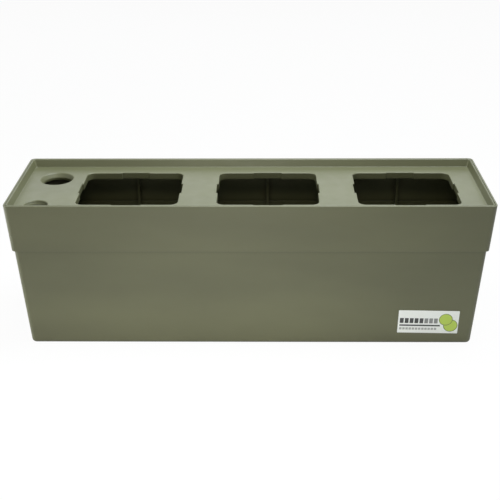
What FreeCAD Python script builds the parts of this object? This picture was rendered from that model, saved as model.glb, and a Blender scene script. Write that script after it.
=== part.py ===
"""Self-watering herb planter.

A tapered tub with a stepped band under its rim holds a water reservoir. A false floor rests on ribs
inside it and carries felt mats and wicks. A drop-in deck with three pot openings closes the top, and
carries the filling tube and the water gauge.

Frame: origin at the middle of the base, +X along the planter to the right, +Y to the back, +Z up.
All sizes are in millimetres.
"""
import FreeCAD
import Part
import Sketcher
import math
import os

SIZES = {
    # Outside of the tub
    "top_length": 540.0,
    "top_width": 150.0,
    "total_height": 180.0,
    "draft_angle": 3.1,
    "band_height": 56.0,
    "band_step": 2.2,
    "corner_radius": 6.0,
    "least_radius": 1.0,
    "base_round": 4.5,
    "rim_bevel": 0.4,
    "tub_wall": 2.0,
    "floor_thickness": 2.4,
    "base_recess": 2.0,
    "standing_ring": 10.0,
    # Ribs on the inside of the tub
    "rib_width": 3.0,
    "rib_depth": 9.5,
    "ledge_width": 12.0,
    "ledge_height": 50.0,
    # Drop-in deck
    "cover_gap": 0.4,
    "cover_wall": 1.6,
    "deck_drop": 9.0,
    "upstand_lean": 12.0,
    "deck_thickness": 2.2,
    "skirt_depth": 8.0,
    # Pot openings
    "opening_length": 115.0,
    "opening_width": 97.0,
    "opening_radius": 9.0,
    "service_length": 67.6,
    "right_margin": 26.8,
    "side_notch": 28.0,
    "back_notch": 33.0,
    "notch_depth": 1.8,
    "edge_bevel": 0.6,
    # Filling hole and tube
    "fill_end_gap": 5.6,
    "fill_side_gap": 10.8,
    "fill_mouth": 39.0,
    "fill_bore": 33.0,
    "funnel_depth": 8.0,
    "funnel_land": 3.0,
    "socket_depth": 8.0,
    "socket_wall": 1.8,
    "socket_gap": 0.1,
    "fill_tube_bore": 36.8,
    "fill_tube_wall": 1.8,
    "fill_tube_foot": 3.0,
    "foot_notch_width": 12.0,
    "foot_notch_height": 14.0,
    # Water gauge
    "gauge_end_gap": 7.9,
    "gauge_side_gap": 3.0,
    "gauge_mouth": 27.0,
    "gauge_seat_depth": 5.5,
    "gauge_tube_outer": 18.0,
    "gauge_tube_wall": 1.4,
    "gauge_tube_foot": 4.0,
    "flange_width": 1.5,
    "flange_thickness": 1.5,
    "flange_gap": 0.5,
    "cap_floor": 1.6,
    "cap_plug": 5.0,
    "cap_port": 6.0,
    "float_play": 0.8,
    "float_height": 24.0,
    "rod_diameter": 3.0,
    "rod_seat": 12.0,
    "tip_play": 2.6,
    "tip_length": 24.0,
    "tip_seat": 10.0,
    "tip_bevel": 2.0,
    "tip_below_deck": 20.0,
    # False floor
    "tray_thickness": 2.4,
    "tray_gap": 1.0,
    "tray_rim": 5.0,
    "tray_rim_wall": 2.0,
    "pass_gap": 1.0,
    "pan_length": 104.0,
    "pan_width": 92.0,
    "pan_radius": 6.0,
    "pan_rim": 5.0,
    "pan_wall": 1.8,
    "drain_diameter": 5.0,
    # Felt mats and wicks
    "mat_gap": 1.0,
    "mat_thickness": 3.0,
    "wick_width": 20.0,
    "wick_thickness": 3.0,
    "wick_tab": 26.0,
    "wick_spread": 36.0,
    "wick_bend": 2.5,
    "wick_gap": 0.5,
    "wick_floor_gap": 1.5,
    # Front label
    "label_length": 70.0,
    "label_height": 30.6,
    "label_thickness": 0.2,
    "label_corner": 0.6,
    "label_end_gap": 18.3,
    "label_foot_gap": 15.0,
    "label_turn": 1.0,
}

PLACES = {"left": -1, "middle": 0, "right": 1}
# A fillet takes at most this share of the wall or corner that it rounds
FILLET_SHARE = 0.9
# Edges this close to a level or a plane lie on it
TOLERANCE = 1e-4

doc = FreeCAD.newDocument("herb_planter")
sheet = doc.addObject("Spreadsheet::Sheet", "Sizes")
for row, (alias, number) in enumerate(SIZES.items(), start=1):
    sheet.set(f"A{row}", alias)
    sheet.set(f"B{row}", str(number))
    sheet.setAlias(f"B{row}", alias)
doc.recompute()


def size(alias):
    """Expression that reads one cell of the sheet."""
    return f"Sizes.{alias}"


def value(expression):
    """Number that an expression gives now, in millimetres."""
    found = sheet.evalExpression(expression)
    return float(getattr(found, "Value", found))


# Levels and half sizes that several pieces share
RIM = size("total_height")
FLOOR_TOP = "(Sizes.base_recess + Sizes.floor_thickness)"
BAND_BOTTOM = f"({RIM} - Sizes.band_height)"
BAND_LEDGE = f"({BAND_BOTTOM} + Sizes.tub_wall)"
DECK_TOP = f"({RIM} - Sizes.deck_drop)"
DECK_UNDER = f"({DECK_TOP} - Sizes.deck_thickness)"
SKIRT_BOTTOM = f"({DECK_TOP} - Sizes.skirt_depth)"
TRAY_UNDER = size("ledge_height")
TRAY_TOP = f"({TRAY_UNDER} + Sizes.tray_thickness)"


def lean(level):
    """How far the drafted walls have come in at a level, measured from the top."""
    return f"(({RIM} - {level}) * tan(Sizes.draft_angle))"


def band_half(across, level):
    """Half length or width of the tub's outside, in the band."""
    return f"(Sizes.{across} / 2 - {lean(level)})"


def body_half(across, level):
    """Half length or width of the tub's outside, below the band."""
    return f"({band_half(across, level)} - Sizes.band_step)"


def cover_half(across, level):
    """Half length or width of the outside of the drop-in deck."""
    return f"({band_half(across, level)} - Sizes.tub_wall - Sizes.cover_gap)"


def deck_half(across, level):
    """Half length or width of the space inside the upstand, which leans in towards its foot."""
    upstand = f"(Sizes.cover_wall + ({RIM} - {level}) * tan(Sizes.upstand_lean))"
    return f"({cover_half(across, level)} - {upstand})"


def new_body(label):
    body = doc.addObject("PartDesign::Body", label)
    body.Label = label
    return body


def new_sketch(body, name, plane="XY_Plane", offset=("0", "0", "0")):
    """Sketch on one of the body's own origin planes, moved by an offset in the sketch's own axes."""
    sketch = body.newObject("Sketcher::SketchObject", name)
    support = next(item for item in body.Origin.OriginFeatures if item.Role == plane)
    sketch.AttachmentSupport = [(support, "")]
    sketch.MapMode = "FlatFace"
    for axis, expression in zip("xyz", offset):
        sketch.setExpression(f"AttachmentOffset.Base.{axis}", expression)
    return sketch


def bind(sketch, kind, *references, expression):
    """Add a dimension to a sketch and tie it to the sheet."""
    index = sketch.addConstraint(Sketcher.Constraint(kind, *references, value(expression)))
    sketch.setExpression(f"Constraints[{index}]", expression)


def add_polygon(sketch, points):
    """Closed outline of straight edges, each corner tied to the sheet."""
    corners = [FreeCAD.Vector(value(across), value(up), 0) for across, up in points]
    first = sketch.GeometryCount
    count = len(corners)
    for index in range(count):
        sketch.addGeometry(Part.LineSegment(corners[index], corners[(index + 1) % count]))
    for index in range(count):
        following = first + (index + 1) % count
        sketch.addConstraint(Sketcher.Constraint("Coincident", first + index, 2, following, 1))
    for index, (across, up) in enumerate(points):
        bind(sketch, "DistanceX", -1, 1, first + index, 1, expression=across)
        bind(sketch, "DistanceY", -1, 1, first + index, 1, expression=up)


def add_rectangle(sketch, length, width, centre=("0", "0")):
    """Square-cornered rectangle round a centre."""
    across, back = centre
    left = f"{across} - {length} / 2"
    right = f"{across} + {length} / 2"
    front = f"{back} - {width} / 2"
    rear = f"{back} + {width} / 2"
    add_polygon(sketch, [(left, front), (right, front), (right, rear), (left, rear)])


def add_rounded_rectangle(sketch, length, width, radius, centre=("0", "0")):
    """Rectangle with four equal round corners, round a centre."""
    across, back = centre
    x0 = value(f"{across} - {length} / 2")
    x1 = value(f"{across} + {length} / 2")
    y0 = value(f"{back} - {width} / 2")
    y1 = value(f"{back} + {width} / 2")
    bend = value(radius)
    up = FreeCAD.Vector(0, 0, 1)
    first = sketch.GeometryCount
    sides = [((x0 + bend, y0), (x1 - bend, y0)), ((x1, y0 + bend), (x1, y1 - bend)),
             ((x1 - bend, y1), (x0 + bend, y1)), ((x0, y1 - bend), (x0, y0 + bend))]
    for start, end in sides:
        sketch.addGeometry(Part.LineSegment(FreeCAD.Vector(*start, 0), FreeCAD.Vector(*end, 0)))
    centres = [(x1 - bend, y0 + bend), (x1 - bend, y1 - bend), (x0 + bend, y1 - bend), (x0 + bend, y0 + bend)]
    quarter = math.pi / 2
    for index, middle in enumerate(centres):
        circle = Part.Circle(FreeCAD.Vector(*middle, 0), up, bend)
        sketch.addGeometry(Part.ArcOfCircle(circle, (index - 1) * quarter, index * quarter))
    for index in range(4):
        side = first + index
        arc = first + 4 + index
        following = first + (index + 1) % 4
        sketch.addConstraint(Sketcher.Constraint("Tangent", side, 2, arc, 1))
        sketch.addConstraint(Sketcher.Constraint("Tangent", arc, 2, following, 1))
        sketch.addConstraint(Sketcher.Constraint("Horizontal" if index % 2 == 0 else "Vertical", side))
        if index:
            sketch.addConstraint(Sketcher.Constraint("Equal", first + 4, arc))
    bind(sketch, "Radius", first + 4, expression=radius)
    bind(sketch, "DistanceY", -1, 1, first, 1, expression=f"{back} - {width} / 2")
    bind(sketch, "DistanceX", -1, 1, first + 1, 1, expression=f"{across} + {length} / 2")
    bind(sketch, "DistanceY", -1, 1, first + 2, 1, expression=f"{back} + {width} / 2")
    bind(sketch, "DistanceX", -1, 1, first + 3, 1, expression=f"{across} - {length} / 2")


def add_circle(sketch, diameter, centre):
    across, back = centre
    middle = FreeCAD.Vector(value(across), value(back), 0)
    index = sketch.addGeometry(Part.Circle(middle, FreeCAD.Vector(0, 0, 1), value(diameter) / 2))
    bind(sketch, "Diameter", index, expression=diameter)
    bind(sketch, "DistanceX", -1, 1, index, 3, expression=across)
    bind(sketch, "DistanceY", -1, 1, index, 3, expression=back)


def finish(body, feature, change):
    """Recompute, and stop if a feature that should add or take away material did not."""
    before = finish.volumes.get(body.Name, 0.0)
    doc.recompute()
    after = feature.Shape.Volume
    if (after - before) * change <= 0:
        raise RuntimeError(f"{feature.Name} left the volume at {after:.1f}, was {before:.1f}")
    finish.volumes[body.Name] = after
    return feature


finish.volumes = {}


def drafted_block(body, name, adds, levels, half_of, inset="0"):
    """Block or cavity with leaning sides, from a low level to a high one."""
    kind = "PartDesign::AdditiveWedge" if adds else "PartDesign::SubtractiveWedge"
    feature = body.newObject(kind, name)
    support = next(item for item in body.Origin.OriginFeatures if item.Role == "XZ_Plane")
    feature.AttachmentSupport = [(support, "")]
    feature.MapMode = "FlatFace"
    for end, level, prefix in (("min", levels[0], ""), ("max", levels[1], "2")):
        feature.setExpression(f"Y{end}", level)
        for axis, across in (("X", "top_length"), ("Z", "top_width")):
            half = f"({half_of(across, level)} - {inset})"
            feature.setExpression(f"{axis}{prefix}min", f"-{half}")
            feature.setExpression(f"{axis}{prefix}max", half)
    return finish(body, feature, 1 if adds else -1)


def pad(body, name, sketch, length):
    """Material from a sketch, along the sketch's own normal."""
    feature = body.newObject("PartDesign::Pad", name)
    feature.Profile = sketch
    feature.setExpression("Length", length)
    return finish(body, feature, 1)


def pocket(body, name, sketch, depth):
    """Cut from a sketch at the bottom of the cut, along the sketch's own normal."""
    feature = body.newObject("PartDesign::Pocket", name)
    feature.Profile = sketch
    feature.setExpression("Length", depth)
    feature.Reversed = True
    return finish(body, feature, -1)


def turned(body, name, adds, centre, profile):
    """Turned form round an upright axis, from a profile of radius and level."""
    across, back = centre
    sketch = new_sketch(body, f"{name}_profile", "XZ_Plane", (across, "0", f"-({back})"))
    add_polygon(sketch, profile)
    feature = body.newObject("PartDesign::Revolution" if adds else "PartDesign::Groove", name)
    feature.Profile = sketch
    feature.ReferenceAxis = (sketch, ["V_Axis"])
    feature.Angle = 360
    return finish(body, feature, 1 if adds else -1)


def dress_edges(body, kind, name, width, chosen):
    """Fillet or chamfer on the edges of the body's last feature that a test picks."""
    base = body.Tip
    names = [f"Edge{i}" for i, edge in enumerate(base.Shape.Edges, start=1) if chosen(edge)]
    feature = body.newObject(f"PartDesign::{kind}", name)
    feature.Base = (base, names)
    feature.setExpression("Radius" if kind == "Fillet" else "Size", width)
    doc.recompute()
    finish.volumes[body.Name] = feature.Shape.Volume
    return feature


def on_level(edge, level):
    """True for an edge that lies wholly at a level."""
    return spans(edge, level, level)


def spans(edge, low, high):
    """True for an edge that runs from one level to another."""
    box = edge.BoundBox
    return abs(box.ZMin - low) < TOLERANCE and abs(box.ZMax - high) < TOLERANCE


def round_corners(body, name, levels, radius):
    """Fillet on the upright corners of a drafted block or cavity."""
    low, high = (value(level) for level in levels)
    return dress_edges(body, "Fillet", name, radius, lambda edge: spans(edge, low, high))


def corner(inset):
    """Radius of an upright corner that lies a distance inside the tub's outside."""
    return f"max(Sizes.corner_radius - ({inset}); Sizes.least_radius)"


DECK_HALF = deck_half("top_length", DECK_TOP)
RIGHT_PLACE = f"({DECK_HALF} - Sizes.right_margin - Sizes.opening_length / 2)"
LEFT_PLACE = f"(Sizes.service_length + Sizes.opening_length / 2 - {DECK_HALF})"


def place_across(step):
    """Middle of one pot place, along the planter: the places are spread evenly over the deck."""
    return f"(({RIGHT_PLACE} + {LEFT_PLACE}) / 2 + {step} * ({RIGHT_PLACE} - {LEFT_PLACE}) / 2)"


def rib_face(across):
    """Distance of the ribs' upright front edges from the planter's middle plane."""
    return f"({band_half(across, SKIRT_BOTTOM)} - Sizes.tub_wall - Sizes.rib_depth)"


def tray_half(across):
    """Half length or width of the false floor, clear of the wall and of the ribs."""
    wall_face = f"{body_half(across, TRAY_UNDER)} - Sizes.tub_wall"
    return f"(min({wall_face}; {rib_face(across)}) - Sizes.tray_gap)"


def floor_half(across):
    """Half length or width of the reservoir's floor."""
    return f"({body_half(across, FLOOR_TOP)} - Sizes.tub_wall)"


FUNNEL_BOTTOM = f"({DECK_TOP} - Sizes.funnel_depth)"
FILL_TUBE_BORE = "(Sizes.fill_tube_bore / 2)"
FILL_TUBE_RADIUS = f"({FILL_TUBE_BORE} + Sizes.fill_tube_wall)"
FILL = (f"({FILL_TUBE_RADIUS} + Sizes.fill_end_gap - {floor_half('top_length')})",
        f"({floor_half('top_width')} - Sizes.fill_side_gap - {FILL_TUBE_RADIUS})")

GAUGE_SEAT = f"({DECK_TOP} - Sizes.gauge_seat_depth)"
GAUGE_TUBE_RADIUS = "(Sizes.gauge_tube_outer / 2)"
GAUGE_TUBE_BORE = f"({GAUGE_TUBE_RADIUS} - Sizes.gauge_tube_wall)"
GAUGE_TUBE_BOTTOM = f"({FLOOR_TOP} + Sizes.gauge_tube_foot)"
GAUGE_SOCKET_BORE = f"({GAUGE_TUBE_RADIUS} + Sizes.socket_gap)"
GAUGE_FLANGE = f"({GAUGE_TUBE_RADIUS} + Sizes.flange_width)"
GAUGE = (f"({GAUGE_TUBE_RADIUS} + Sizes.gauge_end_gap - {floor_half('top_length')})",
         f"({GAUGE_TUBE_RADIUS} + Sizes.gauge_side_gap - {floor_half('top_width')})")
FLOAT_BOTTOM = f"({GAUGE_TUBE_BOTTOM} + Sizes.cap_plug)"
FLOAT_TOP = f"({FLOAT_BOTTOM} + Sizes.float_height)"
TIP_TOP = f"({DECK_TOP} - Sizes.tip_below_deck)"
TIP_BOTTOM = f"({TIP_TOP} - Sizes.tip_length)"
ROD_RADIUS = "(Sizes.rod_diameter / 2)"
ROD_SOCKET = f"({ROD_RADIUS} + Sizes.socket_gap)"


def add_rib(body, name, plane, across, along, side):
    """Upright rib on one wall, with a step that carries the false floor."""
    root = "(Sizes.base_recess + Sizes.floor_thickness / 2)"
    jog = f"({BAND_BOTTOM} + Sizes.tub_wall / 2)"
    mid_wall = "Sizes.tub_wall / 2"
    face = rib_face(across)
    profile = [
        (f"{body_half(across, root)} - {mid_wall}", root),
        (f"{body_half(across, jog)} - {mid_wall}", jog),
        (f"{band_half(across, jog)} - {mid_wall}", jog),
        (f"{band_half(across, SKIRT_BOTTOM)} - {mid_wall}", SKIRT_BOTTOM),
        (face, SKIRT_BOTTOM),
        (face, TRAY_UNDER),
        (f"{face} - Sizes.ledge_width", TRAY_UNDER),
        (f"{face} - Sizes.ledge_width", root),
    ]
    start = f"{along} - Sizes.rib_width / 2"
    sketch = new_sketch(body, f"{name}_profile", plane, ("0", "0", start))
    add_polygon(sketch, [(f"{side} * ({out})", up) for out, up in profile])
    return pad(body, name, sketch, size("rib_width"))


def make_tub():
    """Outer shell with its stepped band, standing ring and inside ribs."""
    tub = new_body("tub")
    wall = size("tub_wall")
    lower = ("0", BAND_BOTTOM)
    drafted_block(tub, "lower_shell", True, lower, body_half)
    round_corners(tub, "lower_corners", lower, size("corner_radius"))
    base_radius = f"min(Sizes.base_round; Sizes.corner_radius * {FILLET_SHARE})"
    dress_edges(tub, "Fillet", "base_rounding", base_radius, lambda edge: on_level(edge, 0))
    band = (BAND_BOTTOM, RIM)
    drafted_block(tub, "band", True, band, band_half)
    round_corners(tub, "band_corners", band, size("corner_radius"))
    reservoir = (FLOOR_TOP, BAND_LEDGE)
    drafted_block(tub, "lower_space", False, reservoir, body_half, wall)
    round_corners(tub, "lower_space_corners", reservoir, corner(wall))
    rim = (BAND_LEDGE, RIM)
    drafted_block(tub, "rim_space", False, rim, band_half, wall)
    round_corners(tub, "rim_space_corners", rim, corner(wall))

    ring = size("standing_ring")
    recess = new_sketch(tub, "base_recess_outline")
    length = f"(2 * ({body_half('top_length', '0')} - {ring}))"
    width = f"(2 * ({body_half('top_width', '0')} - {ring}))"
    add_rounded_rectangle(recess, length, width, size("corner_radius"))
    pocket(tub, "base_recess_cut", recess, size("base_recess"))

    for place, step in PLACES.items():
        add_rib(tub, f"back_rib_{place}", "YZ_Plane", "top_width", place_across(step), 1)
        add_rib(tub, f"front_rib_{place}", "YZ_Plane", "top_width", place_across(step), -1)
    add_rib(tub, "left_end_rib", "XZ_Plane", "top_length", "0", -1)
    add_rib(tub, "right_end_rib", "XZ_Plane", "top_length", "0", 1)
    rim_level = value(RIM)
    rim_width = f"min(Sizes.rim_bevel; {wall} / 2 * {FILLET_SHARE})"
    dress_edges(tub, "Chamfer", "rim_bevelling", rim_width, lambda edge: on_level(edge, rim_level))
    return tub


def add_openings(sketch, length, width, radius=None):
    """One outline round the middle of each pot place."""
    for step in PLACES.values():
        centre = (place_across(step), "0")
        if radius:
            add_rounded_rectangle(sketch, length, width, radius, centre)
        else:
            add_rectangle(sketch, length, width, centre)


def opening_outlines(grow):
    """Length, width and corner radius of the pot opening and of the notches in its sides."""
    length = f"(Sizes.opening_length + 2 * {grow})"
    width = f"(Sizes.opening_width + 2 * {grow})"
    notch = "2 * Sizes.notch_depth"
    return [
        ("opening", length, width, f"(Sizes.opening_radius + {grow})"),
        ("side_notch", f"({length} + {notch})", f"(Sizes.side_notch + 2 * {grow})", None),
        ("back_notch", f"(Sizes.back_notch + 2 * {grow})", f"({width} + {notch})", None),
    ]


def add_fill_funnel(cover):
    """Tapered filling hole that ends in a short straight land, over a socket for the filling tube."""
    mouth = "(Sizes.fill_mouth / 2)"
    bore = "(Sizes.fill_bore / 2)"
    inside = f"({FILL_TUBE_RADIUS} + Sizes.socket_gap)"
    outside = f"({inside} + Sizes.socket_wall)"
    land_top = f"({FUNNEL_BOTTOM} + Sizes.funnel_land)"
    foot = f"({FUNNEL_BOTTOM} - Sizes.socket_depth)"
    turned(cover, "funnel", True, FILL, [
        ("0", DECK_TOP), (outside, DECK_TOP), (outside, foot), (inside, foot), (inside, FUNNEL_BOTTOM),
        ("0", FUNNEL_BOTTOM)])
    turned(cover, "funnel_bore", False, FILL, [
        ("0", DECK_TOP), (mouth, DECK_TOP), (bore, land_top), (bore, FUNNEL_BOTTOM), ("0", FUNNEL_BOTTOM)])


def add_gauge_socket(cover):
    """Tapered gauge hole with a step that carries the flange of the gauge tube."""
    seat = f"({GAUGE_FLANGE} + Sizes.flange_gap)"
    outside = f"({seat} + Sizes.socket_wall)"
    foot = f"({GAUGE_SEAT} - Sizes.socket_depth)"
    turned(cover, "gauge_socket", True, GAUGE, [
        ("0", DECK_TOP), (outside, DECK_TOP), (outside, foot), ("0", foot)])
    turned(cover, "gauge_socket_bore", False, GAUGE, [
        ("0", DECK_TOP), ("Sizes.gauge_mouth / 2", DECK_TOP), (seat, GAUGE_SEAT),
        (GAUGE_SOCKET_BORE, GAUGE_SEAT), (GAUGE_SOCKET_BORE, foot), ("0", foot)])


def make_cover():
    """Drop-in deck with an upstand rim, skirted pot openings, filling funnel and gauge seat."""
    cover = new_body("cover")
    wall = size("cover_wall")
    fit = "Sizes.tub_wall + Sizes.cover_gap"
    whole = (SKIRT_BOTTOM, RIM)
    drafted_block(cover, "outer_block", True, whole, cover_half)
    round_corners(cover, "outer_corners", whole, corner(fit))
    for name, levels, half_of, inset in (("deck_space", (DECK_TOP, RIM), deck_half, "0"),
                                         ("under_space", (SKIRT_BOTTOM, DECK_UNDER), cover_half, wall)):
        drafted_block(cover, name, False, levels, half_of, inset)
        round_corners(cover, f"{name}_corners", levels, corner(f"{fit} + {wall}"))

    skirt_height = f"({DECK_UNDER} - {SKIRT_BOTTOM})"
    for name, length, width, radius in opening_outlines(wall):
        sketch = new_sketch(cover, f"{name}_skirt_outline", offset=("0", "0", SKIRT_BOTTOM))
        add_openings(sketch, length, width, radius)
        pad(cover, f"{name}_skirt", sketch, skirt_height)
    for name, length, width, radius in opening_outlines("0"):
        sketch = new_sketch(cover, f"{name}_outline", offset=("0", "0", SKIRT_BOTTOM))
        add_openings(sketch, length, width, radius)
        pocket(cover, f"{name}_cut", sketch, size("skirt_depth"))

    add_fill_funnel(cover)
    add_gauge_socket(cover)

    deck_level = value(DECK_TOP)
    deck_end = value(DECK_HALF) - TOLERANCE
    deck_side = value(deck_half("top_width", DECK_TOP)) - TOLERANCE

    def on_opening(edge):
        """True for an edge round a hole in the deck's top, clear of the upstand."""
        box = edge.BoundBox
        clear_of_ends = max(abs(box.XMin), abs(box.XMax)) < deck_end
        clear_of_sides = max(abs(box.YMin), abs(box.YMax)) < deck_side
        return on_level(edge, deck_level) and clear_of_ends and clear_of_sides

    edge_width = f"min(Sizes.edge_bevel; Sizes.cover_wall * {FILLET_SHARE})"
    dress_edges(cover, "Chamfer", "opening_bevelling", edge_width, on_opening)
    top_level = value(RIM)
    rim_width = f"min(Sizes.rim_bevel; {wall} / 2 * {FILLET_SHARE})"
    dress_edges(cover, "Chamfer", "upstand_bevelling", rim_width, lambda edge: on_level(edge, top_level))
    return cover


def make_separator_tray():
    """False floor over the reservoir, with a rim, pot pans and wick slots. One corner is cut away for the
    filling tube, which leaves room for a hand once the deck is off."""
    tray = new_body("separator_tray")
    length = f"(2 * {tray_half('top_length')})"
    width = f"(2 * {tray_half('top_width')})"
    rim_wall = size("tray_rim_wall")
    radius = corner("Sizes.tub_wall")
    plate = new_sketch(tray, "plate_outline", offset=("0", "0", TRAY_UNDER))
    add_rounded_rectangle(plate, length, width, radius)
    pad(tray, "plate", plate, size("tray_thickness"))
    rim = new_sketch(tray, "rim_outline", offset=("0", "0", TRAY_TOP))
    add_rounded_rectangle(rim, length, width, radius)
    add_rounded_rectangle(rim, f"({length} - 2 * {rim_wall})", f"({width} - 2 * {rim_wall})",
                          f"max({radius} - {rim_wall}; Sizes.least_radius)")
    pad(tray, "rim", rim, size("tray_rim"))

    pan_wall = size("pan_wall")
    pans = new_sketch(tray, "pan_outlines", offset=("0", "0", TRAY_TOP))
    for grow in ("0", pan_wall):
        add_openings(pans, f"(Sizes.pan_length + 2 * {grow})", f"(Sizes.pan_width + 2 * {grow})",
                     f"(Sizes.pan_radius + {grow})")
    pad(tray, "pan_rims", pans, size("pan_rim"))

    holes = new_sketch(tray, "hole_outlines", offset=("0", "0", TRAY_UNDER))
    add_circle(holes, f"(2 * ({GAUGE_TUBE_RADIUS} + Sizes.pass_gap))", GAUGE)
    for step in PLACES.values():
        middle = place_across(step)
        add_circle(holes, size("drain_diameter"), (middle, "0"))
        for side in (-1, 1):
            add_rectangle(holes, "(Sizes.wick_thickness + 2 * Sizes.wick_gap)",
                          "(Sizes.wick_width + 2 * Sizes.wick_gap)",
                          (f"({middle} + {side} * Sizes.wick_spread)", "0"))
    pocket(tray, "holes", holes, size("tray_thickness"))

    across, back = FILL
    cut_side = f"({across} + {FILL_TUBE_RADIUS} + Sizes.pass_gap)"
    cut_front = f"({back} - {FILL_TUBE_RADIUS} - Sizes.pass_gap)"
    tray_end = f"(-{tray_half('top_length')})"
    tray_back = tray_half("top_width")
    past_end = f"({tray_end} - Sizes.tray_gap)"
    past_back = f"({tray_back} + Sizes.tray_gap)"
    cut = new_sketch(tray, "fill_corner_outline", offset=("0", "0", TRAY_UNDER))
    add_polygon(cut, [(past_end, cut_front), (cut_side, cut_front), (cut_side, past_back),
                      (past_end, past_back)])
    pocket(tray, "fill_corner_cut", cut, "(Sizes.tray_thickness + Sizes.tray_rim)")
    strip_side = f"({cut_side} + {rim_wall})"
    strip_front = f"({cut_front} - {rim_wall})"
    strip = new_sketch(tray, "fill_corner_rim_outline", offset=("0", "0", TRAY_TOP))
    add_polygon(strip, [(tray_end, cut_front), (tray_end, strip_front), (strip_side, strip_front),
                        (strip_side, tray_back), (cut_side, tray_back), (cut_side, cut_front)])
    pad(tray, "fill_corner_rim", strip, size("tray_rim"))
    return tray


def make_mat(place, step):
    """Felt mat in one pan, with a window round each wick's tab."""
    mat = new_body(f"capillary_mat_{place}")
    outline = new_sketch(mat, f"mat_outline_{place}", offset=("0", "0", TRAY_TOP))
    add_rounded_rectangle(outline, "(Sizes.pan_length - 2 * Sizes.mat_gap)",
                          "(Sizes.pan_width - 2 * Sizes.mat_gap)",
                          "max(Sizes.pan_radius - Sizes.mat_gap; Sizes.least_radius)")
    tab_middle = "(Sizes.wick_spread + Sizes.wick_thickness / 2 - Sizes.wick_tab / 2)"
    for side in (-1, 1):
        add_rectangle(outline, "(Sizes.wick_tab + 2 * Sizes.wick_gap)",
                      "(Sizes.wick_width + 2 * Sizes.wick_gap)", (f"({side} * {tab_middle})", "0"))
    pad(mat, f"felt_{place}", outline, size("mat_thickness"))
    mat.setExpression("Placement.Base.x", place_across(step))
    return mat


def make_wick(place, step, number, side):
    """Felt strip that lies in the mat's window and hangs through a slot into the water."""
    wick = new_body(f"wick_{place}_{number}")
    outer = "(Sizes.wick_spread + Sizes.wick_thickness / 2)"
    inner = f"({outer} - Sizes.wick_thickness)"
    tab_end = f"({outer} - Sizes.wick_tab)"
    tab_top = f"({TRAY_TOP} + Sizes.wick_thickness)"
    hem = f"({FLOOR_TOP} + Sizes.wick_floor_gap)"
    profile = [(outer, hem), (outer, tab_top), (tab_end, tab_top), (tab_end, TRAY_TOP),
               (inner, TRAY_TOP), (inner, hem)]
    sketch = new_sketch(wick, f"strip_profile_{place}_{number}", "XZ_Plane",
                        ("0", "0", "-Sizes.wick_width / 2"))
    add_polygon(sketch, [(f"{side} * {across}", up) for across, up in profile])
    pad(wick, f"strip_{place}_{number}", sketch, size("wick_width"))
    bend_level = value(tab_top)
    bend_across = value(outer)
    bend = f"min(Sizes.wick_bend; Sizes.wick_thickness * {FILLET_SHARE})"
    dress_edges(wick, "Fillet", f"bend_{place}_{number}", bend,
                lambda edge: on_level(edge, bend_level)
                and abs(abs(edge.CenterOfMass.x) - bend_across) < TOLERANCE)
    wick.setExpression("Placement.Base.x", place_across(step))
    return wick


def make_fill_tube():
    """Filling tube in the socket under the funnel, with notches in its foot to let the water out."""
    tube = new_body("fill_tube")
    foot = f"({FLOOR_TOP} + Sizes.fill_tube_foot)"
    turned(tube, "fill_tube_wall_form", True, FILL, [
        (FILL_TUBE_BORE, foot), (FILL_TUBE_RADIUS, foot), (FILL_TUBE_RADIUS, FUNNEL_BOTTOM),
        (FILL_TUBE_BORE, FUNNEL_BOTTOM)])
    notches = new_sketch(tube, "foot_notches", offset=("0", "0", foot))
    reach = f"(2 * {FILL_TUBE_RADIUS} + Sizes.foot_notch_width)"
    add_rectangle(notches, reach, size("foot_notch_width"), FILL)
    pocket(tube, "foot_notch_cut", notches, size("foot_notch_height"))
    return tube


def make_gauge_tube():
    """Guide tube that drops into the gauge socket and hangs by its flange."""
    tube = new_body("gauge_tube")
    flange_top = f"({GAUGE_SEAT} + Sizes.flange_thickness)"
    turned(tube, "gauge_tube_form", True, GAUGE, [
        (GAUGE_TUBE_BORE, GAUGE_TUBE_BOTTOM), (GAUGE_TUBE_RADIUS, GAUGE_TUBE_BOTTOM),
        (GAUGE_TUBE_RADIUS, GAUGE_SEAT), (GAUGE_FLANGE, GAUGE_SEAT), (GAUGE_FLANGE, flange_top),
        (GAUGE_TUBE_BORE, flange_top)])
    return tube


def make_gauge_end_cap():
    """Plug in the foot of the gauge tube, with a port for the water."""
    cap = new_body("gauge_end_cap")
    plug = f"({GAUGE_TUBE_BORE} - Sizes.socket_gap)"
    underside = f"({GAUGE_TUBE_BOTTOM} - Sizes.cap_floor)"
    turned(cap, "end_cap_form", True, GAUGE, [
        ("Sizes.cap_port / 2", underside), (GAUGE_TUBE_RADIUS, underside),
        (GAUGE_TUBE_RADIUS, GAUGE_TUBE_BOTTOM), (plug, GAUGE_TUBE_BOTTOM), (plug, FLOAT_BOTTOM),
        ("Sizes.cap_port / 2", FLOAT_BOTTOM)])
    return cap


def make_gauge_float():
    """Foam float with a socket for the rod."""
    body = new_body("gauge_float")
    side = f"({GAUGE_TUBE_BORE} - Sizes.float_play)"
    socket = f"({FLOAT_TOP} - Sizes.rod_seat)"
    turned(body, "float_form", True, GAUGE, [
        ("0", FLOAT_BOTTOM), (side, FLOAT_BOTTOM), (side, FLOAT_TOP), (ROD_SOCKET, FLOAT_TOP),
        (ROD_SOCKET, socket), ("0", socket)])
    return body


def make_gauge_rod():
    """Thin rod from the float up to the tip."""
    body = new_body("gauge_rod")
    foot = f"({FLOAT_TOP} - Sizes.rod_seat)"
    head = f"({TIP_BOTTOM} + Sizes.tip_seat)"
    turned(body, "rod_form", True, GAUGE, [
        ("0", foot), (ROD_RADIUS, foot), (ROD_RADIUS, head), ("0", head)])
    return body


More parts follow.
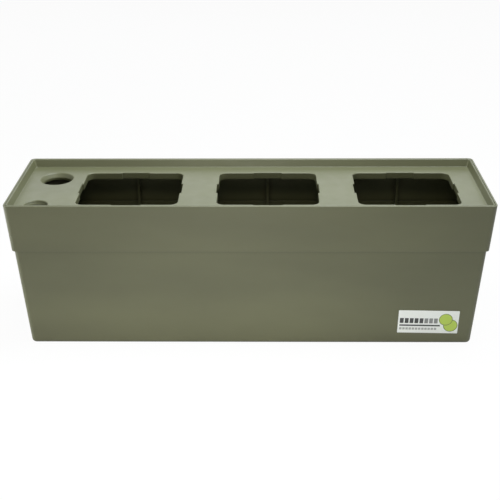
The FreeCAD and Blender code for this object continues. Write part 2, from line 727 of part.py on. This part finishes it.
def make_gauge_tip():
    """Coloured tip that shows the water level, on the end of the rod."""
    body = new_body("gauge_tip")
    side = f"({GAUGE_TUBE_BORE} - Sizes.tip_play)"
    socket = f"({TIP_BOTTOM} + Sizes.tip_seat)"
    turned(body, "tip_form", True, GAUGE, [
        (ROD_SOCKET, TIP_BOTTOM), (side, TIP_BOTTOM), (side, TIP_TOP), ("0", TIP_TOP), ("0", socket),
        (ROD_SOCKET, socket)])
    top_level = value(TIP_TOP)
    dress_edges(body, "Chamfer", "tip_bevelling", f"min(Sizes.tip_bevel; {side} * {FILLET_SHARE})",
                lambda edge: on_level(edge, top_level))
    return body


def make_front_label():
    """Thin label stuck on the leaning front face, turned a little."""
    label = new_body("front_label")
    sketch = new_sketch(label, "label_outline", "XZ_Plane")
    sketch.setExpression("AttachmentOffset.Rotation.Angle", "-Sizes.label_turn")
    add_rounded_rectangle(sketch, size("label_length"), size("label_height"), size("label_corner"))
    pad(label, "label_film", sketch, size("label_thickness"))
    label.Placement = FreeCAD.Placement(FreeCAD.Vector(), FreeCAD.Rotation(FreeCAD.Vector(1, 0, 0), 1))
    label.setExpression("Placement.Rotation.Angle", size("draft_angle"))
    middle = "(Sizes.label_foot_gap + Sizes.label_height / 2)"
    end = body_half("top_length", middle)
    label.setExpression("Placement.Base.x", f"{end} - Sizes.label_end_gap - Sizes.label_length / 2")
    label.setExpression("Placement.Base.y", f"-{body_half('top_width', middle)}")
    label.setExpression("Placement.Base.z", middle)
    return label


def check(parts):
    """Stop unless every object computed and every sub-part is one sound solid."""
    doc.recompute()
    for item in doc.Objects:
        if "Invalid" in item.State or "Error" in item.State:
            raise RuntimeError(f"{item.Name} did not compute: {item.State}")
    for item in parts:
        shape = item.Shape
        if shape.isNull() or not shape.isValid() or len(shape.Solids) != 1:
            raise RuntimeError(f"{item.Label} is not one sound solid")


def main():
    parts = [make_tub(), make_cover(), make_separator_tray()]
    for place, step in PLACES.items():
        parts.append(make_mat(place, step))
        for number, side in ((1, -1), (2, 1)):
            parts.append(make_wick(place, step, number, side))
    parts += [make_fill_tube(), make_gauge_tube(), make_gauge_end_cap(), make_gauge_float(),
              make_gauge_rod(), make_gauge_tip(), make_front_label()]
    check(parts)
    os.makedirs("parts", exist_ok=True)
    for item in parts:
        item.Shape.exportStep(f"parts/{item.Label}.step")
        print(item.Label, round(item.Shape.Volume / 1000, 2), "cm3")


main()
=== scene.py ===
"""Looks of a self-watering herb planter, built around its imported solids.

Lengths are in metres, in the part's own frame: +X to the right, +Y to the back, +Z up.
"""

import math

import bpy
from mathutils import Matrix, Vector, noise


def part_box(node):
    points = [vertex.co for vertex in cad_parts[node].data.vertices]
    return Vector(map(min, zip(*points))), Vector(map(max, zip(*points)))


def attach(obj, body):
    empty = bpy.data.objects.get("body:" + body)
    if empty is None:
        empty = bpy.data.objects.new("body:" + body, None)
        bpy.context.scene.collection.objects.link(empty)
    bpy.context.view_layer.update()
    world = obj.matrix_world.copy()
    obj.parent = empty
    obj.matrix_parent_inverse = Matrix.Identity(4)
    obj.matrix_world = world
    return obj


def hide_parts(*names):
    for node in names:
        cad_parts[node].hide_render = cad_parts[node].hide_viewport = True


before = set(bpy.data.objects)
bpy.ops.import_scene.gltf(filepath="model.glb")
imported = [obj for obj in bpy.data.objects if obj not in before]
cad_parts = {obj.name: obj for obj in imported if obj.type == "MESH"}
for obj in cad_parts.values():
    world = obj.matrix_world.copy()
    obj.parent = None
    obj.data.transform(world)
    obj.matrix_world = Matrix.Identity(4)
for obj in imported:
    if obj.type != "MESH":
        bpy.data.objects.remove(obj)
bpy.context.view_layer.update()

MM = 0.001
TUB_BODY = "tub_assembly"
PLACES = ("left", "middle", "right")
WICKS = (1, 2)

# Colours, as linear red, green and blue
OLIVE_TAUPE = (0.116, 0.119, 0.061)
# Painted highlight colour along the olive plastics' edges
PALE_TAUPE = (0.230, 0.232, 0.150)
DARK_OLIVE = (0.040, 0.040, 0.026)
# Painted highlight colour along the dark plastics' edges
HIGHLIGHT_OLIVE = (0.075, 0.073, 0.050)
FELT_GREY = (0.150, 0.145, 0.132)
FELT_LIGHT = (0.270, 0.260, 0.235)
WICK_CREAM = (0.520, 0.490, 0.415)
WICK_LIGHT = (0.680, 0.650, 0.570)
FOAM_WHITE = (0.760, 0.755, 0.700)
ROD_IVORY = (0.640, 0.630, 0.560)
SIGNAL_RED = (0.520, 0.022, 0.016)
FILM_WHITE = (0.910, 0.930, 0.910)
LIME_GREEN = (0.480, 0.640, 0.070)
DEEP_LIME = (0.150, 0.210, 0.040)
INK_GREY = (0.035, 0.037, 0.037)
MID_GREY = (0.230, 0.235, 0.235)
PALE_GREY = (0.420, 0.430, 0.425)
FLOOR_PALE = (0.930, 0.930, 0.920)
WHITE = (1.0, 1.0, 1.0)

# Sockets of a colour mix
MIX_FACTOR = 0
MIX_FIRST = 6
MIX_SECOND = 7
MIX_RESULT = 2


def opaque(colour, share=1.0):
    """Colour with no see-through part, at a share of its brightness."""
    return (*(share * part for part in colour), 1.0)


def new_material(name, constants):
    """Material with a Principled shader, and the shader's sockets that are the same all over."""
    material = bpy.data.materials.new(name)
    material.use_nodes = True
    shader = material.node_tree.nodes["Principled BSDF"]
    for socket, constant in constants.items():
        shader.inputs[socket].default_value = constant
    return material, material.node_tree, shader


def add_node(tree, kind, inputs=None, **settings):
    """Node with its settings, whose inputs are constants or other nodes' outputs."""
    node = tree.nodes.new(f"ShaderNode{kind}")
    for setting, value in settings.items():
        setattr(node, setting, value)
    for socket, source in (inputs or {}).items():
        if isinstance(source, bpy.types.NodeSocket):
            tree.links.new(source, node.inputs[socket])
        else:
            node.inputs[socket].default_value = source
    return node


def calculate(tree, operation, *sources):
    """Result of one sum on numbers or outputs."""
    return add_node(tree, "Math", dict(enumerate(sources)), operation=operation).outputs[0]


def mix_colour(tree, factor, first, second):
    """Colour between two, each a constant or an output."""
    inputs = {MIX_FACTOR: factor, MIX_FIRST: first, MIX_SECOND: second}
    return add_node(tree, "Mix", inputs, data_type="RGBA").outputs[MIX_RESULT]


def spread(tree, field, low, high, start=0.0, end=1.0):
    """Number that goes from low to high while a field goes from start to end."""
    inputs = {"Value": field, "From Min": start, "From Max": end, "To Min": low, "To Max": high}
    return add_node(tree, "MapRange", inputs).outputs["Result"]


def object_place(tree):
    """Place of a point on its own piece, in metres."""
    return add_node(tree, "TexCoord").outputs["Object"]


def blotches(tree, place, size, detail=2.0, stretch=(1.0, 1.0, 1.0)):
    """Soft noise from 0 to 1, with blotches of about a size, drawn out along the axes by stretch."""
    scale = [1.0 / (size * along) for along in stretch]
    mapped = add_node(tree, "Mapping", {"Vector": place, "Scale": scale}).outputs["Vector"]
    return add_node(tree, "TexNoise", {"Vector": mapped, "Scale": 1.0, "Detail": detail}).outputs[0]


def raise_bumps(tree, height, depth, strength=1.0, under=None):
    """Normal of a surface with bumps of a depth, on top of another normal."""
    inputs = {"Height": height, "Distance": depth, "Strength": strength}
    if under:
        inputs["Normal"] = under
    return add_node(tree, "Bump", inputs).outputs["Normal"]


EDGE_SAMPLES = 6


def round_edges(tree, radius):
    """Normal of a surface whose sharp edges are rounded."""
    return add_node(tree, "Bevel", {"Radius": radius}, samples=EDGE_SAMPLES).outputs["Normal"]


PLASTIC_IOR = 1.49
FLOW_SIZE = 60 * MM
FLOW_STRETCH = (3.0, 1.0, 1.0)
CLOUD_SIZE = 14 * MM
GRAIN_SIZE = 0.55 * MM
GRAIN_DEPTH = 0.035 * MM
WAVE_SIZE = 90 * MM
WAVE_DEPTH = 0.5 * MM
CREASE_REACH = 6 * MM
CREASE_SAMPLES = 8


def moulded_plastic(name, colour, highlight_colour, roughness, edge_round=0.7 * MM, crease_shade=0.9):
    """Satin injection-moulded plastic: a fine grain, faint flow shades, a painted highlight along edges and
    painted shade in creases.
    """
    material, tree, shader = new_material(name, {"IOR": PLASTIC_IOR})
    place = object_place(tree)
    flow = blotches(tree, place, FLOW_SIZE, 3.0, stretch=FLOW_STRETCH)
    cloud = blotches(tree, place, CLOUD_SIZE, 4.0)
    grain = blotches(tree, place, GRAIN_SIZE, 2.0)

    rounded = round_edges(tree, edge_round)
    flat = add_node(tree, "NewGeometry").outputs["Normal"]
    facing = add_node(tree, "VectorMath", {0: rounded, 1: flat}, operation="DOT_PRODUCT").outputs["Value"]
    edge = spread(tree, facing, 1.0, 0.0, 0.80, 0.99)
    # Painted highlight: a paler colour in patches along sharp edges, where the rounded normal turns away from
    # the flat one
    edge_highlight = calculate(tree, "MULTIPLY", edge, spread(tree, cloud, 0.10, 0.55, 0.30, 0.70))

    swirl = spread(tree, flow, 0.0, 1.0, 0.25, 0.75)
    shade = mix_colour(tree, swirl, opaque(colour, 0.90), opaque(colour, 1.08))
    surface = mix_colour(tree, edge_highlight, shade, opaque(highlight_colour))
    # Painted shade: the colour darkens in creases and under overhangs, by ambient occlusion, down to the
    # share given as the last argument
    shelter = add_node(tree, "AmbientOcclusion", {"Distance": CREASE_REACH}, samples=CREASE_SAMPLES)
    unshaded = spread(tree, shelter.outputs["AO"], 0.0, 1.0, 0.30, 0.95)
    tree.links.new(mix_colour(tree, unshaded, opaque(colour, crease_shade), surface), shader.inputs["Base Color"])

    matt = spread(tree, cloud, roughness - 0.05, roughness + 0.05, 0.25, 0.75)
    tree.links.new(calculate(tree, "SUBTRACT", matt, calculate(tree, "MULTIPLY", edge, 0.06)),
                   shader.inputs["Roughness"])

    waves = raise_bumps(tree, blotches(tree, place, WAVE_SIZE, 1.0), WAVE_DEPTH, under=rounded)
    tree.links.new(raise_bumps(tree, grain, GRAIN_DEPTH, 0.7, waves), shader.inputs["Normal"])
    return material


CELL_SIZE = 1.1 * MM
CELL_DEPTH = 0.25 * MM


def closed_cell_foam(name):
    """Pale foam with small round cells."""
    material, tree, shader = new_material(name, {"IOR": 1.4, "Roughness": 0.9})
    place = object_place(tree)
    cells = add_node(tree, "TexVoronoi", {"Vector": place, "Scale": 1.0 / CELL_SIZE}).outputs["Distance"]
    shade = mix_colour(tree, spread(tree, cells, 1.0, 0.0, 0.0, 0.8),
                       opaque(FOAM_WHITE, 0.72), opaque(FOAM_WHITE))
    tree.links.new(shade, shader.inputs["Base Color"])
    tree.links.new(raise_bumps(tree, cells, -CELL_DEPTH, 0.8), shader.inputs["Normal"])
    return material


LINE_WIDTH = 0.3 * MM
LINE_STRETCH = (1.0, 1.0, 60.0)
LINE_DEPTH = 0.02 * MM


def drawn_rod(name):
    """Ivory rod with fine lines along it from drawing."""
    material, tree, shader = new_material(name, {"IOR": 1.5})
    place = object_place(tree)
    lines = blotches(tree, place, LINE_WIDTH, 2.0, stretch=LINE_STRETCH)
    shade = mix_colour(tree, lines, opaque(ROD_IVORY, 0.85), opaque(ROD_IVORY))
    tree.links.new(shade, shader.inputs["Base Color"])
    tree.links.new(spread(tree, lines, 0.28, 0.42), shader.inputs["Roughness"])
    tree.links.new(raise_bumps(tree, lines, LINE_DEPTH, 0.6), shader.inputs["Normal"])
    return material


GLOSS_EDGE = 0.5 * MM
SWIRL_SIZE = 4 * MM
SWIRL_DEPTH = 0.05 * MM


def gloss_plastic(name, colour):
    """Bright moulded plastic with a gloss that is a little uneven."""
    material, tree, shader = new_material(name, {"IOR": 1.5, "Coat Weight": 0.35, "Coat Roughness": 0.12})
    place = object_place(tree)
    swirl = blotches(tree, place, SWIRL_SIZE, 3.0)
    shade = mix_colour(tree, swirl, opaque(colour, 0.8), opaque(colour))
    tree.links.new(shade, shader.inputs["Base Color"])
    tree.links.new(spread(tree, swirl, 0.22, 0.34), shader.inputs["Roughness"])
    bumps = raise_bumps(tree, swirl, SWIRL_DEPTH, 0.4, round_edges(tree, GLOSS_EDGE))
    tree.links.new(bumps, shader.inputs["Normal"])
    return material


FIBRE_SIZE = 0.35 * MM
FIBRE_ALONG = (9.0, 1.0, 1.0)
FIBRE_ACROSS = (1.0, 9.0, 2.0)
FIBRE_DEPTH = 0.22 * MM
TUFT_SIZE = 5 * MM
NEEDLE_GAP = 2.4 * MM
NEEDLE_DEPTH = 0.25 * MM


def felt(name, colour, lighter):
    """Needled felt: matted fibres, a few pale ones, and needle marks."""
    material, tree, shader = new_material(name, {"Roughness": 0.95, "IOR": 1.4, "Sheen Weight": 0.35,
                                                 "Sheen Roughness": 0.6})
    place = object_place(tree)
    along = blotches(tree, place, FIBRE_SIZE, 3.0, stretch=FIBRE_ALONG)
    across = blotches(tree, place, FIBRE_SIZE, 3.0, stretch=FIBRE_ACROSS)
    tufts = blotches(tree, place, TUFT_SIZE, 4.0)
    fibres = calculate(tree, "MAXIMUM", along, across)
    pale = calculate(tree, "MULTIPLY", spread(tree, fibres, 0.0, 1.0, 0.50, 0.72),
                     spread(tree, tufts, 0.35, 1.0, 0.3, 0.7))
    shaded = spread(tree, tufts, 0.0, 1.0, 0.3, 0.7)
    ground = mix_colour(tree, shaded, opaque(colour, 0.70), opaque(colour))
    tree.links.new(mix_colour(tree, pale, ground, opaque(lighter)), shader.inputs["Base Color"])
    needled = add_node(tree, "TexVoronoi", {"Vector": place, "Scale": 1.0 / NEEDLE_GAP}).outputs["Distance"]
    pits = raise_bumps(tree, spread(tree, needled, 0.0, 1.0, 0.0, 0.35), NEEDLE_DEPTH, 0.6)
    tree.links.new(raise_bumps(tree, fibres, FIBRE_DEPTH, 0.9, pits), shader.inputs["Normal"])
    return material


LABEL_LEAN = math.radians(3.1)
LABEL_TURN = math.radians(1.0)
BAR_SHARE = 0.78
PAPER_SIZE = 3 * MM
PAPER_DEPTH = 0.06 * MM


def printed_film(name, node):
    """White sticker film with rows of plain bars, a rule and two lime discs, in the label's own plane."""
    material, tree, shader = new_material(name, {"IOR": 1.46, "Coat Weight": 0.5, "Coat Roughness": 0.18})
    low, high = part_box(node)
    inputs = {"Vector": object_place(tree), "Location": (low + high) / 2,
              "Rotation": (LABEL_LEAN, LABEL_TURN, 0.0)}
    flat = add_node(tree, "Mapping", inputs, vector_type="TEXTURE").outputs["Vector"]
    axes = add_node(tree, "SeparateXYZ", {0: flat}).outputs
    along, up = axes["X"], axes["Z"]

    def block(left, right, bottom, top):
        """1 inside a rectangle on the label, given in millimetres from the label's middle."""
        inside_length = calculate(tree, "COMPARE", along, (left + right) / 2 * MM, (right - left) / 2 * MM)
        inside_height = calculate(tree, "COMPARE", up, (bottom + top) / 2 * MM, (top - bottom) / 2 * MM)
        return calculate(tree, "MULTIPLY", inside_length, inside_height)

    def bars(left, right, bottom, top, count):
        """1 inside each of a row of equal bars that fill a rectangle."""
        step = (right - left) / count * MM
        past = calculate(tree, "SUBTRACT", along, left * MM)
        turns = calculate(tree, "FRACT", calculate(tree, "DIVIDE", past, step))
        return calculate(tree, "MULTIPLY", block(left, right, bottom, top),
                         calculate(tree, "LESS_THAN", turns, BAR_SHARE))

    def disc(across, height, radius):
        """1 inside a disc on the label."""
        inputs = {0: flat, 1: (across * MM, 0.0, height * MM)}
        reach = add_node(tree, "VectorMath", inputs, operation="DISTANCE").outputs["Value"]
        return calculate(tree, "LESS_THAN", reach, radius * MM)

    # What is printed, from the first layer to the last
    prints = [
        (bars(-33.0, -4.5, -2.0, 4.8, 5), INK_GREY),
        (bars(-4.5, 12.0, -2.0, 4.8, 3), MID_GREY),
        (block(-33.0, 14.0, -6.0, -4.0), INK_GREY),
        (bars(-33.0, 11.0, -11.0, -8.0, 12), PALE_GREY),
        (disc(26.0, -4.6, 8.3), DEEP_LIME),
        (disc(26.0, -4.6, 7.5), LIME_GREEN),
        (disc(20.0, 3.4, 7.9), DEEP_LIME),
        (disc(20.0, 3.4, 7.1), LIME_GREEN),
    ]
    paper = blotches(tree, object_place(tree), PAPER_SIZE, 3.0)
    colour = mix_colour(tree, paper, opaque(FILM_WHITE, 0.95), opaque(FILM_WHITE))
    for inside, ink in prints:
        colour = mix_colour(tree, inside, colour, opaque(ink))
    tree.links.new(colour, shader.inputs["Base Color"])
    tree.links.new(spread(tree, paper, 0.26, 0.38), shader.inputs["Roughness"])
    tree.links.new(raise_bumps(tree, paper, PAPER_DEPTH, 0.5), shader.inputs["Normal"])
    return material


def dress(material, *nodes):
    """Give CAD nodes a finish."""
    for node in nodes:
        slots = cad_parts[node].data.materials
        slots.clear()
        slots.append(material)


def dress_solids():
    """Finish of every rigid piece."""
    # The tub gets the darkest painted shade in its creases, as under its band
    dress(moulded_plastic("tub_satin", OLIVE_TAUPE, PALE_TAUPE, 0.44, 0.4 * MM, 0.4), "tub")
    dress(moulded_plastic("deck_satin", OLIVE_TAUPE, PALE_TAUPE, 0.42, 1.5 * MM), "cover")
    dress(moulded_plastic("tray_dull", DARK_OLIVE, HIGHLIGHT_OLIVE, 0.55), "separator_tray")
    dress(moulded_plastic("tube_dull", DARK_OLIVE, HIGHLIGHT_OLIVE, 0.50, 0.3 * MM), "fill_tube", "gauge_tube")
    dress(moulded_plastic("cap_dull", DARK_OLIVE, HIGHLIGHT_OLIVE, 0.52, 0.3 * MM), "gauge_end_cap")
    dress(closed_cell_foam("float_foam"), "gauge_float")
    dress(drawn_rod("rod_ivory"), "gauge_rod")
    dress(gloss_plastic("tip_red", SIGNAL_RED), "gauge_tip")
    dress(printed_film("label_print", "front_label"), "front_label")


def shown_mesh(source):
    """Mesh of an object with its modifiers, as it is shown."""
    shown = source.evaluated_get(bpy.context.evaluated_depsgraph_get())
    return bpy.data.meshes.new_from_object(shown)


def link(obj):
    """Put an object into the scene."""
    bpy.context.scene.collection.objects.link(obj)
    return obj


def add_piece(name, mesh, material):
    """Smooth piece of the object with one finish."""
    mesh.materials.clear()
    mesh.materials.append(material)
    mesh.shade_smooth()
    return link(bpy.data.objects.new(name, mesh))


FELT_VOXEL = 1.1 * MM
FELT_DEPTH = 0.22 * MM
LUMP_SIZE = 4.0 * FELT_VOXEL
LUMP_SHARE = 0.6


def roughen(mesh, seed):
    """Push a felt's surface in and out by a noise of lumps and of fine fibres."""
    shift = Vector((seed, 2.0 * seed, 3.0 * seed))
    normals = [vertex.normal.copy() for vertex in mesh.vertices]
    for vertex, normal in zip(mesh.vertices, normals):
        lumps = noise.noise(vertex.co / LUMP_SIZE + shift)
        fibres = noise.noise(vertex.co / FELT_VOXEL + shift)
        vertex.co += normal * FELT_DEPTH * (LUMP_SHARE * lumps + (1.0 - LUMP_SHARE) * fibres)
    mesh.update()


ROUND_STEPS = 6


def round_outline(low, high, radius):
    """Corners of a rectangle with round corners, one point after another."""
    points = []
    corners = ((high.x - radius, high.y - radius), (low.x + radius, high.y - radius),
               (low.x + radius, low.y + radius), (high.x - radius, low.y + radius))
    for quarter, (across, back) in enumerate(corners):
        for step in range(ROUND_STEPS + 1):
            turn = (quarter + step / ROUND_STEPS) * math.pi / 2
            points.append((across + radius * math.cos(turn), back + radius * math.sin(turn)))
    return points


FELT_EDGE = 0.6 * MM


def cut_felt(name, outlines, middle, thickness):
    """Flat felt with soft edges, cut along an outline and the windows in it, about its own middle."""
    curve = bpy.data.curves.new(f"{name}_cut", "CURVE")
    curve.dimensions = "2D"
    curve.fill_mode = "BOTH"
    curve.bevel_depth = FELT_EDGE
    curve.bevel_resolution = 2
    curve.offset = -FELT_EDGE
    curve.extrude = thickness / 2 - FELT_EDGE
    for outline in outlines:
        spline = curve.splines.new("POLY")
        spline.points.add(len(outline) - 1)
        for point, (across, back) in zip(spline.points, outline):
            point.co = (across - middle.x, back - middle.y, 0.0, 1.0)
        spline.use_cyclic_u = True
    cut = link(bpy.data.objects.new(f"{name}_cut", curve))
    blank = link(bpy.data.objects.new(f"{name}_blank", shown_mesh(cut)))
    remesh = blank.modifiers.new("felt", "REMESH")
    remesh.mode = "VOXEL"
    remesh.voxel_size = FELT_VOXEL
    mesh = shown_mesh(blank)
    bpy.data.objects.remove(cut)
    bpy.data.objects.remove(blank)
    return mesh


MAT_CORNER = 5 * MM
MAT_LIFT = 0.25 * MM
MAT_WAVE = 30 * MM
WINDOW_GAP = 0.5 * MM
WINDOW_CORNER = 1 * MM


def make_mat(place, seed, material):
    """Needled felt mat, cut out round the tabs of its two wicks, which lies in gentle waves."""
    node = f"capillary_mat_{place}"
    low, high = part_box(node)
    middle = (low + high) / 2
    gap = Vector((WINDOW_GAP, WINDOW_GAP, 0.0))
    tabs = [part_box(f"wick_{place}_{number}") for number in WICKS]
    windows = [(tab_low - gap, tab_high + gap) for tab_low, tab_high in tabs]
    outlines = [round_outline(low, high, MAT_CORNER)]
    outlines += [round_outline(*window, WINDOW_CORNER)[::-1] for window in windows]
    mesh = cut_felt(node, outlines, middle, high.z - low.z)
    roughen(mesh, seed)
    for vertex in mesh.vertices:
        wave = noise.noise(Vector((vertex.co.x, vertex.co.y, seed * MM)) / MAT_WAVE)
        vertex.co.z += MAT_LIFT * (1.0 + wave)
    mesh.transform(Matrix.Translation(middle))
    piece = add_piece(f"felt_mat_{place}", mesh, material)
    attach(piece, TUB_BODY)
    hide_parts(node)


WICK_STEP = 1.2 * MM
WICK_BEND = 1.9 * MM
BEND_STEPS = 8
WICK_RING = 36
WICK_SQUARE = 0.28
WICK_SWAY = 0.5 * MM
WICK_WAVE = 26 * MM


def wick_line(reach, drop):
    """Middle line of a wick: along its tab, round a bend and down, as places and directions in a plane."""
    line = []
    flat_steps = round((reach - WICK_BEND) / WICK_STEP)
    for step in range(flat_steps):
        line.append((step / flat_steps * (reach - WICK_BEND), 0.0, 0.0))
    for step in range(BEND_STEPS):
        turn = step / BEND_STEPS * math.pi / 2
        line.append((reach - WICK_BEND * (1.0 - math.sin(turn)), -WICK_BEND * (1.0 - math.cos(turn)), turn))
    hang_steps = round((drop - WICK_BEND) / WICK_STEP)
    for step in range(hang_steps + 1):
        fall = step / hang_steps * (drop - WICK_BEND)
        sway = WICK_SWAY * fall / drop * math.sin(2.0 * math.pi * fall / WICK_WAVE)
        line.append((reach + sway, -WICK_BEND - fall, math.pi / 2))
    return line


def squared(number):
    """Sine or cosine drawn out, so that a round section becomes a flat one with round corners."""
    return math.copysign(abs(number) ** WICK_SQUARE, number)


def strip_faces(rings):
    """Faces round and at both ends of a strip, given how many rings of points it has."""
    faces = []
    for ring in range(rings - 1):
        for step in range(WICK_RING):
            first = ring * WICK_RING + step
            second = ring * WICK_RING + (step + 1) % WICK_RING
            faces.append((first, second, second + WICK_RING, first + WICK_RING))
    last = (rings - 1) * WICK_RING
    faces.append(tuple(range(WICK_RING - 1, -1, -1)))
    faces.append(tuple(range(last, last + WICK_RING)))
    return faces


def make_wick(place, number, seed, material):
    """Felt strip: a tab on the tray, a bend, and a tail that hangs into the water."""
    node = f"wick_{place}_{number}"
    mat_low, mat_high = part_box(f"capillary_mat_{place}")
    low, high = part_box(node)
    thickness = mat_high.z - mat_low.z
    width = high.y - low.y
    side = 1.0 if number == 2 else -1.0
    start = low.x if number == 2 else high.x
    level = high.z - thickness / 2
    middle = (low.y + high.y) / 2
    line = wick_line(high.x - low.x - thickness / 2, level - low.z)
    points = []
    for along, fall, turn in line:
        for step in range(WICK_RING):
            angle = 2.0 * math.pi * step / WICK_RING
            across = width / 2 * squared(math.cos(angle))
            out = thickness / 2 * squared(math.sin(angle))
            points.append((start + side * (along + out * math.sin(turn)), middle + across,
                           level + fall + out * math.cos(turn)))
    faces = strip_faces(len(line))
    if number == 2:
        faces = [face[::-1] for face in faces]
    mesh = bpy.data.meshes.new(node)
    mesh.from_pydata(points, [], faces)
    mesh.update()
    roughen(mesh, seed)
    piece = add_piece(f"felt_wick_{place}_{number}", mesh, material)
    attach(piece, TUB_BODY)
    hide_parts(node)


MAT_SEED = 1.7
WICK_SEED = 5.3


def make_felt():
    """The three mats and their six wicks, no two of them alike."""
    mat_felt = felt("mat_felt_grey", FELT_GREY, FELT_LIGHT)
    wick_felt = felt("wick_felt_cream", WICK_CREAM, WICK_LIGHT)
    for index, place in enumerate(PLACES):
        make_mat(place, MAT_SEED + index, mat_felt)
        for number in WICKS:
            make_wick(place, number, WICK_SEED + len(WICKS) * index + number, wick_felt)


def seen_rays(tree):
    """1 for what the camera sees, directly, in gloss or through glass."""
    path = add_node(tree, "LightPath").outputs
    mirrored = calculate(tree, "MAXIMUM", path["Is Glossy Ray"], path["Is Transmission Ray"])
    return calculate(tree, "MAXIMUM", path["Is Camera Ray"], mirrored)


FLOOR_HALF = 6.0
FLOOR_DROP = 0.2 * MM
SHADOW_SHARE = 0.04


def make_floor():
    """Pale floor that looks white and keeps a faint shadow."""
    mesh = bpy.data.meshes.new("floor")
    corners = [(-FLOOR_HALF, -FLOOR_HALF), (FLOOR_HALF, -FLOOR_HALF), (FLOOR_HALF, FLOOR_HALF),
               (-FLOOR_HALF, FLOOR_HALF)]
    mesh.from_pydata([(across, back, -FLOOR_DROP) for across, back in corners], [], [(0, 1, 2, 3)])
    floor = link(bpy.data.objects.new("floor", mesh))
    material = bpy.data.materials.new("floor_pale")
    material.use_nodes = True
    tree = material.node_tree
    tree.nodes.remove(tree.nodes["Principled BSDF"])
    pale = add_node(tree, "BsdfDiffuse", {"Color": opaque(FLOOR_PALE)}).outputs[0]
    white = add_node(tree, "Emission", {"Color": opaque(WHITE), "Strength": 1.0}).outputs[0]
    shadowed = add_node(tree, "MixShader", {0: SHADOW_SHARE, 1: white, 2: pale}).outputs[0]
    surface = add_node(tree, "MixShader", {0: seen_rays(tree), 1: pale, 2: shadowed}).outputs[0]
    tree.links.new(surface, tree.nodes["Material Output"].inputs["Surface"])
    mesh.materials.append(material)


AMBIENT = 0.04


def make_world():
    """White surroundings that light the object a little."""
    world = bpy.data.worlds.new("studio")
    bpy.context.scene.world = world
    world.use_nodes = True
    tree = world.node_tree
    soft = tree.nodes["Background"]
    soft.inputs["Color"].default_value = opaque(WHITE)
    soft.inputs["Strength"].default_value = AMBIENT
    white = add_node(tree, "Background", {"Color": opaque(WHITE), "Strength": 1.0}).outputs[0]
    surface = add_node(tree, "MixShader", {0: seen_rays(tree), 1: soft.outputs[0], 2: white}).outputs[0]
    tree.links.new(surface, tree.nodes["World Output"].inputs["Surface"])


def add_softbox(name, place, target, size, power, colour=WHITE):
    """Rectangular area light that points at a target and isn't seen itself."""
    lamp = bpy.data.lights.new(name, "AREA")
    lamp.shape = "RECTANGLE"
    lamp.size, lamp.size_y = size
    lamp.energy = power
    lamp.color = colour
    light = link(bpy.data.objects.new(name, lamp))
    light.location = place
    direction = Vector(target) - Vector(place)
    light.rotation_euler = direction.to_track_quat("-Z", "Y").to_euler()
    light.visible_camera = False


COOL_WHITE = (0.93, 1.0, 1.05)
WARM_WHITE = (1.0, 0.98, 0.90)
AMBER_WHITE = (1.0, 0.93, 0.65)


def make_lights():
    """Soft light from above, behind and in front, and low strips for the front, its foot and left edge."""
    add_softbox("key_softbox", (0.45, 0.05, 1.4), (0.0, 0.0, 0.15), (0.5, 0.5), 11.0, COOL_WHITE)
    add_softbox("top_softbox", (-0.03, -0.05, 0.75), (-0.02, 0.0, 0.15), (0.40, 0.32), 3.15, COOL_WHITE)
    add_softbox("rear_softbox", (0.30, 0.40, 1.4), (0.0, 0.0, 0.15), (0.5, 0.4), 3.5, COOL_WHITE)
    add_softbox("back_softbox", (0.0, 1.5, 0.8), (0.0, 0.0, 0.10), (2.0, 0.8), 3.6, COOL_WHITE)
    add_softbox("fill_softbox", (0.0, -0.55, 0.93), (0.0, 0.0, 0.15), (0.3, 0.2), 1.0, AMBER_WHITE)
    add_softbox("front_strip", (-0.03, -0.46, 0.235), (-0.03, 0.0, 0.225), (0.12, 0.08), 0.33, WARM_WHITE)
    add_softbox("left_strip", (-0.80, -0.06, 0.09), (-0.27, -0.06, 0.09), (0.20, 0.14), 2.6)
    add_softbox("low_strip", (-0.05, -0.42, 0.030), (-0.05, 0.0, 0.0), (0.26, 0.05), 0.08)
    add_softbox("floor_strip", (-0.07, -0.22, 0.08), (-0.07, -0.22, 0.0), (0.42, 0.10), 0.29, WARM_WHITE)


CAMERA_PLACE = (17.0 * MM, -1042.5 * MM, 594.9 * MM)
CAMERA_PITCH = 0.4499
CAMERA_YAW = -0.0170
CAMERA_ROLL = 0.0069
SENSOR_WIDTH = 36.0
CAMERA_LENS = 69.756


def make_camera():
    """Camera in front of the planter, a little above it."""
    data = bpy.data.cameras.new("camera")
    data.sensor_width = SENSOR_WIDTH
    data.lens = CAMERA_LENS
    data.dof.use_dof = False
    camera = link(bpy.data.objects.new("camera", data))
    aim = (Matrix.Rotation(-CAMERA_YAW, 4, "Z") @ Matrix.Rotation(math.pi / 2 - CAMERA_PITCH, 4, "X")
           @ Matrix.Rotation(-CAMERA_ROLL, 4, "Z"))
    camera.matrix_world = Matrix.Translation(CAMERA_PLACE) @ aim
    bpy.context.scene.camera = camera


dress_solids()
make_felt()
make_floor()
make_world()
make_lights()
make_camera()
bpy.context.scene.view_settings.view_transform = "Standard"
